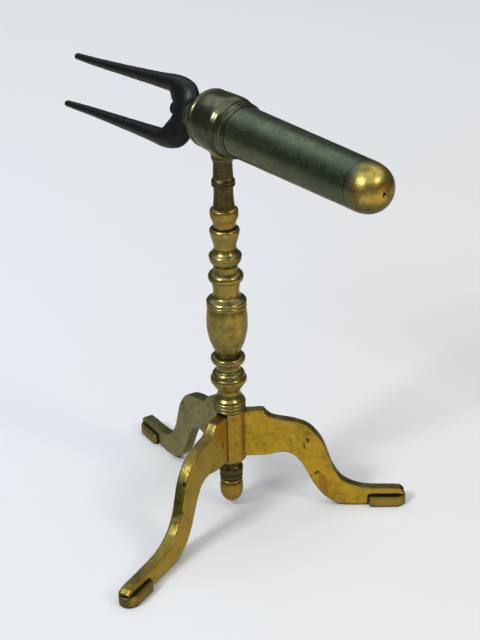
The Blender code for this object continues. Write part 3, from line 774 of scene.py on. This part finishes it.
def build_tripod():
    """The hub with its three slots, and a leg and a sole in each direction."""
    outer = [(HUB_R - 0.5, HUB_TOP, True), (HUB_R - 0.1, HUB_TOP - 0.5), (HUB_R, HUB_TOP - 1.2), (HUB_R, 54.0),
             (HUB_R, HUB_BOTTOM + 4.0), (HUB_R - 0.4, HUB_BOTTOM + 2.0), (HUB_R - 1.6, HUB_BOTTOM + 0.6),
             (HUB_R - 3.2, HUB_BOTTOM, True)]
    bore = [(ROD_BORE_R, HUB_BOTTOM, True), (ROD_BORE_R, HUB_TOP, True)]
    blank = bpy.data.objects.new("hub_blank", lathe("tripod_hub_fine", outer, bore, seed=6.0))
    bpy.context.scene.collection.objects.link(blank)
    blank.matrix_world = STAND
    tools = []
    stand_up = Matrix.Rotation(math.pi / 2, 4, "X")
    for number, (name, azimuth) in enumerate(LEG_AZIMUTHS.items()):
        turn = STAND @ Matrix.Rotation(math.radians(azimuth), 4, "Z")
        low, high = LEG_SLOT_BOTTOM, HUB_TOP + 5.0
        near, far = LEG_ROOT_R - GAP, HUB_R + 5.0
        bpy.ops.mesh.primitive_cube_add(size=1.0)
        slot = bpy.context.object
        slot.name = "leg_slot_" + name
        size = Matrix.Diagonal(((far - near) * MM, (LEG_THICKNESS + 2 * GAP) * MM, (high - low) * MM, 1.0))
        slot.matrix_world = turn @ Matrix.Translation(((near + far) / 2 * MM, 0.0, (low + high) / 2 * MM)) @ size
        tools.append(slot)

        toe = TOE_REACH[name]
        mesh = plate("leg_fine_" + name, trace(leg_outline(toe), 0.8, closed=True), LEG_THICKNESS, LEG_ROUND_OVER,
                     seed=number * 7.3)
        surface = back_leg_brass if name == "back" else leg_brass
        piece("leg_fine_" + name, mesh, turn @ stand_up, "tripod", "cast_brass", surface, "leg_" + name)

        mesh = plate("foot_pad_fine_" + name, trace(pad_outline(toe), 0.6, closed=True), PAD_HEIGHT, PAD_ROUND_OVER,
                     voxel=0.4, lumps=0.08, seed=number * 3.1)
        lift = Matrix.Translation((0.0, 0.0, PAD_HEIGHT / 2 * MM))
        piece("foot_pad_fine_" + name, mesh, turn @ lift, "tripod", "cast_brass", pad_brass, "foot_pad_" + name)
    finished = carve(blank, tools)
    piece("tripod_hub_fine", finished, STAND, "tripod", "cast_brass", hub_brass, "tripod_hub")


def build_finial():
    """The moulded washer and the acorn nut that draw the rod tight from below."""
    washer = [
        (6.2, HUB_BOTTOM - GAP, True), (6.3, 32.6), (6.6, 31.6, True), (7.3, 30.9), (7.8, 29.2), (7.8, 27.4),
        (7.3, 25.8, True), (7.1, 25.4, True), (7.5, 24.6), (7.5, 23.2), (7.0, 22.2), (6.6, ACORN_TOP + GAP, True),
    ]
    bore = [(ROD_BORE_R, ACORN_TOP + GAP, True), (ROD_BORE_R, HUB_BOTTOM - GAP, True)]
    mesh = lathe("finial_washer_fine", washer, bore, seed=7.0)
    piece("finial_washer_fine", mesh, STAND, "washer", "dull_brass", washer_brass, "finial_washer")
    acorn = [
        (6.7, ACORN_TOP, True), (7.2, 20.9), (7.3, 20.3), (7.1, 19.8, True), (6.7, 19.4, True), (7.2, 18.2),
        (7.5, 16.0), (7.6, 13.6), (7.4, 11.2), (6.8, 8.9), (5.7, 6.7), (4.2, 4.9), (2.4, 3.6), (1.0, 3.2), (0.0, 3.1),
    ]
    bore = [(0.0, THREAD_END, True), (ROD_BORE_R, THREAD_END, True), (ROD_BORE_R, ACORN_TOP, True)]
    mesh = lathe("acorn_finial_fine", acorn, bore, seed=8.5)
    piece("acorn_finial_fine", mesh, STAND, "finial", "turned_brass", acorn_brass, "acorn_finial")


# ---------------------------------------------------------------- stage

def build_stage():
    bpy.ops.mesh.primitive_plane_add(size=30.0)
    floor = bpy.context.object
    floor.name = "floor"
    floor.visible_glossy = False  # the metal mirrors the dim room of the world instead
    n = Nodes("floor_paper_painted_light")
    # Painted light: the paper is cooler to the left and warmer to the right, as under the cool key and the warm lamp.
    paper_and_painted_light = n.mix(n.band(n.along("X"), -0.30, 0.35), (0.775, 0.805, 0.850), (0.790, 0.770, 0.760))
    paper_and_painted_light = n.mix(n.band(n.noise(1.3, 2.0), 0.3, 0.7, 0.0, 0.25), paper_and_painted_light, (0.80, 0.80, 0.80))
    # Painted light: the paper grows lighter away from the camera, along Y.
    paper_and_painted_light = n.mix(n.band(n.along("Y"), 0.0, 1.3), paper_and_painted_light, (0.855, 0.865, 0.88))
    floor.data.materials.append(n.finish(paper_and_painted_light, 0.75, 0.0, n.bump(n.noise(900.0), 0.05, 0.0001)))
    build_room()

    def softbox(name, place, size, power, colour):
        light = bpy.data.lights.new(name, "AREA")
        light.shape = "RECTANGLE"
        light.size, light.size_y = size
        light.energy = power
        light.color = colour
        holder = bpy.data.objects.new(name, light)
        bpy.context.scene.collection.objects.link(holder)
        holder.location = place
        aim = Vector((0.0, 0.0, 0.12)) - Vector(place)
        holder.rotation_euler = aim.to_track_quat("-Z", "Y").to_euler()

    # The places are in metres and the powers in watts.
    softbox("key", (-1.7, -1.5, 2.2), (0.75, 0.75), 48.0, (0.97, 0.99, 1.0))
    softbox("warm", (1.9, -1.6, 2.0), (0.6, 0.6), 16.0, (1.0, 0.88, 0.70))
    softbox("window", (-0.95, 1.5, 1.65), (1.4, 1.0), 2.0, (0.95, 0.99, 1.0))
    bpy.context.scene.view_settings.view_transform = "Standard"


def build_room():
    """The world: a dim room with a pale ceiling and floor, and patches of light low in front and to each side."""
    world = bpy.data.worlds.new("room")
    world.use_nodes = True
    tree = world.node_tree
    background = tree.nodes["Background"]
    way = tree.nodes.new("ShaderNodeTexCoord").outputs["Generated"]

    def band(value, low, high, out_high=1.0):
        node = tree.nodes.new("ShaderNodeMapRange")
        node.interpolation_type = "SMOOTHSTEP"
        tree.links.new(value, node.inputs["Value"])
        node.inputs["From Min"].default_value = low
        node.inputs["From Max"].default_value = high
        node.inputs["To Max"].default_value = out_high
        return node.outputs["Result"]

    def towards(direction):
        node = tree.nodes.new("ShaderNodeVectorMath")
        node.operation = "DOT_PRODUCT"
        tree.links.new(way, node.inputs[0])
        node.inputs[1].default_value = Vector(direction).normalized()
        return node.outputs["Value"]

    colour = (0.080, 0.090, 0.078, 1.0)  # the dim walls
    # Each patch is (where, cosine where it starts, cosine where it is full, its share there, its colour).
    for direction, low, high, share, patch in (
            ((0.0, 0.0, 1.0), 0.42, 0.80, 1.0, (0.92, 0.96, 1.01)),
            ((0.0, 0.0, -1.0), 0.08, 0.40, 1.0, (0.46, 0.44, 0.38)),
            ((0.10, -0.89, -0.45), 0.80, 0.98, 0.9, (0.80, 0.70, 0.50)),
            ((0.80, -0.40, -0.45), 0.86, 0.99, 0.9, (1.00, 0.74, 0.38)),
            ((-0.62, -0.60, -0.45), 0.86, 0.99, 0.6, (0.70, 0.74, 0.62))):
        mix = tree.nodes.new("ShaderNodeMix")
        mix.data_type = "RGBA"
        tree.links.new(band(towards(direction), low, high, share), mix.inputs["Factor"])
        if isinstance(colour, tuple):
            mix.inputs["A"].default_value = colour
        else:
            tree.links.new(colour, mix.inputs["A"])
        mix.inputs["B"].default_value = (*patch, 1.0)
        colour = mix.outputs["Result"]
    tree.links.new(colour, background.inputs["Color"])
    background.inputs["Strength"].default_value = 1.0
    bpy.context.scene.world = world


def build_camera():
    camera = bpy.data.cameras.new("camera")
    camera.lens = CAMERA_LENS
    camera.clip_start = 0.01
    holder = bpy.data.objects.new("camera", camera)
    bpy.context.scene.collection.objects.link(holder)
    pitch, roll = math.radians(CAMERA_PITCH), math.radians(CAMERA_ROLL)
    turn = Matrix.Rotation(math.pi / 2 - pitch, 4, "X") @ Matrix.Rotation(roll, 4, "Z")
    holder.matrix_world = Matrix.Translation(Vector(CAMERA_PLACE) * MM) @ turn
    bpy.context.scene.camera = holder


build_camera()
build_stage()
build_barrel()
build_saddle()
build_slug()
build_fork()
build_column()
build_tripod()
build_finial()

# The tie rod shows only when the washer has dropped, so the CAD's own mesh serves, in dark iron.
iron_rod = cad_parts["tie_rod"]
iron_rod.data.materials.clear()
iron_rod.data.materials.append(slug_iron)
